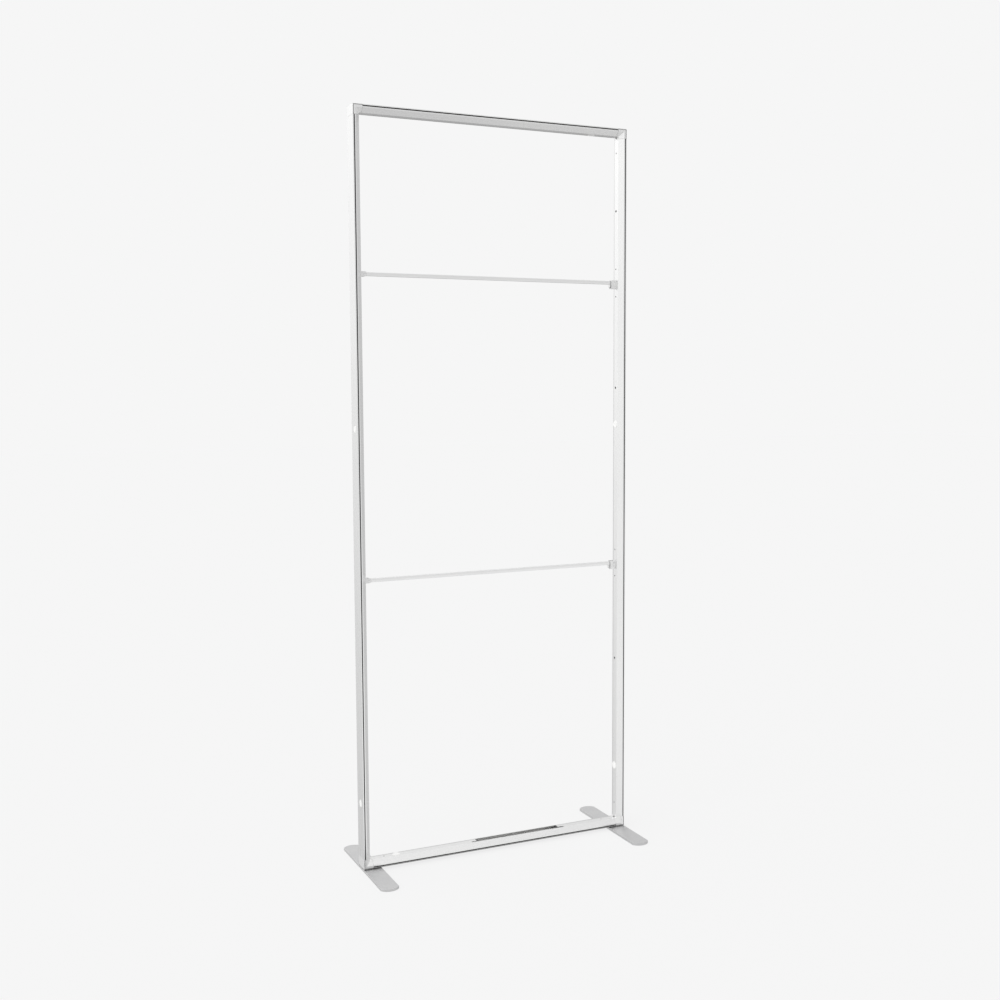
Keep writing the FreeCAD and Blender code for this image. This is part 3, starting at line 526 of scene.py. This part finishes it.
def makePins():
    for level in ("lower", "upper"):
        name = "pivot_pin_" + level
        lowest, highest = boxOf(name)
        centre = (lowest + highest) / 2
        turnedPiece(name, [(pinProfile(pins["pivot"], highest[1]), centre, (0, 1, 0), False)])
        name = "keeper_pins_" + level
        lowest, highest = boxOf(name)
        x = (lowest[0] + highest[0]) / 2
        profile = pinProfile(pins["keeper"], highest[1])
        turnedPiece(name, [(profile, (x, 0, z), (0, 1, 0), False)
                           for z in (lowest[2] + pins["keeper"]["head"], highest[2] - pins["keeper"]["head"])])


makePins()
print("stage: pins")


# Washers under the frame: a flat ring with rounded rims.
washer = {"bore": 0.0043, "edge": 0.0004}


def makeWashers():
    for side in ("left", "right"):
        name = "foot_washer_" + side
        lowest, highest = boxOf(name)
        half, rim, edge = (highest[2] - lowest[2]) / 2, (highest[0] - lowest[0]) / 2, washer["edge"]
        bore = washer["bore"]
        profile = (arc(half - edge, rim - edge, edge, 90, 0)
                   + arc(half - edge, bore + edge, edge, 0, -90)
                   + arc(-half + edge, bore + edge, edge, -90, -180)
                   + arc(-half + edge, rim - edge, edge, 180, 90))
        turnedPiece(name, [(profile, (lowest + highest) / 2, (0, 0, 1), True)])


makeWashers()
print("stage: washers")


# Folding bars: rounded square tubes, carried along x.
bar = {"corner": 0.0015, "boreCorner": 0.0002, "wall": 0.0015, "lip": 0.0002, "perCorner": 6, "stations": 24}


def squareRing(half, radius, perCorner):
    # rounded square: each corner is a quarter circle of the radius about (half - radius, half - radius)
    corner = np.repeat(np.arange(4), perCorner)
    angle = np.radians(90.0 * corner + np.tile(np.linspace(0, 90, perCorner), 4))
    turn = np.radians(45 + 90.0 * corner)
    out = (half - radius) * math.sqrt(2)
    return np.stack([out * np.cos(turn) + radius * np.cos(angle),
                     out * np.sin(turn) + radius * np.sin(angle)], -1)


def makeBars():
    for level in ("lower", "upper"):
        name = "crossbar_" + level
        lowest, highest = boxOf(name)
        middle = (lowest + highest) / 2
        half = (highest[2] - lowest[2]) / 2
        lip, wall = bar["lip"], bar["wall"]
        run = np.linspace(lowest[0] + lip, highest[0] - lip, bar["stations"])
        # loop of (x, inset): along the outside, in over the end, back along the bore, out over the other end
        loop = ([(x, 0.0) for x in run] + [(highest[0], lip), (highest[0], wall - lip)]
                + [(x, wall) for x in run[::-1]] + [(lowest[0], wall - lip), (lowest[0], lip)])
        rings = []
        for x, inset in loop:
            ring = squareRing(half - inset, max(bar["corner"] - inset, bar["boreCorner"]), bar["perCorner"])
            rings.append(np.column_stack([np.full(len(ring), x),
                                          middle[1] + ring[:, 0], middle[2] + ring[:, 1]]))
        mesh = gridMesh(name, np.array(rings), True)
        mesh.set_sharp_from_angle(angle=math.radians(surface["sharp"]))
        settle(bpy.data.objects.new(name + "_tube", mesh), name)


makeBars()
print("stage: bars")

# Studio: pale floor and a smooth surround, each tone a weighted sum over the direction.
studio = {
    "even": 0.678, "right": -0.242, "back": 0.033, "up": 0.401,
    "rightBack": -0.228, "backUp": 0.150, "rightUp": -0.302, "upUp": 0.085, "rightRight": 0.220,
    "horizon": 0.124, "horizonLow": -0.22, "horizonHigh": 0.28,  # step across the horizon, behind the object
    "frontLow": 1.41, "rightLow": 0.44, "under": 0.17,  # light paper on the floor in front, on the right and below
    "paper": 0.9216,  # flat tone behind the object
    "floorPale": 0.12, "floorGlow": 0.783, "floorSize": 30.0,
}


def makeSurround(look):
    # tone = even + right x + back y + up z + rightBack xy + backUp yz + rightUp xz + upUp zz + rightRight xx
    #        + horizon (smooth step of z, less 1/2) (y where y > 0) + frontLow (-y where y < 0) b
    #        + rightLow (x where x > 0) b + under a a, where a is -z below the horizon and b is a (1 - a)
    world = bpy.data.worlds.new("studio")
    world.use_nodes = True
    w = Wiring(world.node_tree)
    apart = w.add("ShaderNodeSeparateXYZ")
    w.join(w.add("ShaderNodeTexCoord").outputs["Generated"], apart.inputs[0])
    x, y, z = apart.outputs
    step = w.ramp(z, look["horizonLow"], look["horizonHigh"], -0.5, 0.5)
    behind = w.math("MAXIMUM", y, 0.0)
    inFront = w.math("MAXIMUM", w.math("MULTIPLY", y, -1.0), 0.0)
    lower = w.math("MAXIMUM", w.math("MULTIPLY", z, -1.0), 0.0)
    shallow = w.math("MULTIPLY", lower, w.math("SUBTRACT", 1.0, lower))
    tone = look["even"]
    onRight = w.math("MAXIMUM", x, 0.0)
    terms = (("right", x, 1.0), ("back", y, 1.0), ("up", z, 1.0),
             ("rightBack", x, y), ("backUp", y, z), ("rightUp", x, z), ("upUp", z, z), ("rightRight", x, x),
             ("horizon", step, behind), ("frontLow", inFront, shallow), ("rightLow", onRight, shallow),
             ("under", lower, lower))
    for key, first, second in terms:
        tone = w.math("ADD", tone, w.math("MULTIPLY", w.math("MULTIPLY", first, second), look[key]))
    seen = w.add("ShaderNodeLightPath").outputs["Is Camera Ray"]
    back = world.node_tree.nodes["Background"]
    w.join(w.tint(seen, tone, (look["paper"],) * 3), back.inputs["Color"])
    bpy.context.scene.world = world


def makeFloor(look):
    size = look["floorSize"]
    corners = [(-size, -size, 0), (size, -size, 0), (size, size, 0), (-size, size, 0)]
    mesh = bpy.data.meshes.new("floor")
    mesh.from_pydata(corners, [], [(0, 1, 2, 3)])
    floor = bpy.data.objects.new("floor", mesh)
    bpy.context.collection.objects.link(floor)
    material = bpy.data.materials.new("paleFloor")
    material.use_nodes = True
    shader = material.node_tree.nodes["Principled BSDF"]
    shader.inputs["Base Color"].default_value = (*(look["floorPale"],) * 3, 1)
    shader.inputs["Roughness"].default_value = 1.0
    shader.inputs["Specular IOR Level"].default_value = 0.0
    shader.inputs["Emission Color"].default_value = (1, 1, 1, 1)
    shader.inputs["Emission Strength"].default_value = look["floorGlow"]
    floor.data.materials.append(material)
    floor.visible_glossy = False
    floor.visible_diffuse = False


sunSetup = {"from": (-0.75, -0.45, 0.6), "strength": 0.5, "spread": 50.0}  # broad soft lamp from the upper left


def makeSun(setup):
    # the metal mirrors only the surround, so the lamp is kept out of reflections
    data = bpy.data.lights.new("softLamp", "SUN")
    data.energy = setup["strength"]
    data.angle = math.radians(setup["spread"])
    lamp = bpy.data.objects.new("softLamp", data)
    bpy.context.collection.objects.link(lamp)
    lamp.rotation_mode = "QUATERNION"
    lamp.rotation_quaternion = Vector(setup["from"]).to_track_quat("Z", "Y")
    lamp.visible_glossy = False


makeSurround(studio)
makeFloor(studio)
makeSun(sunSetup)
print("stage: floor and light")
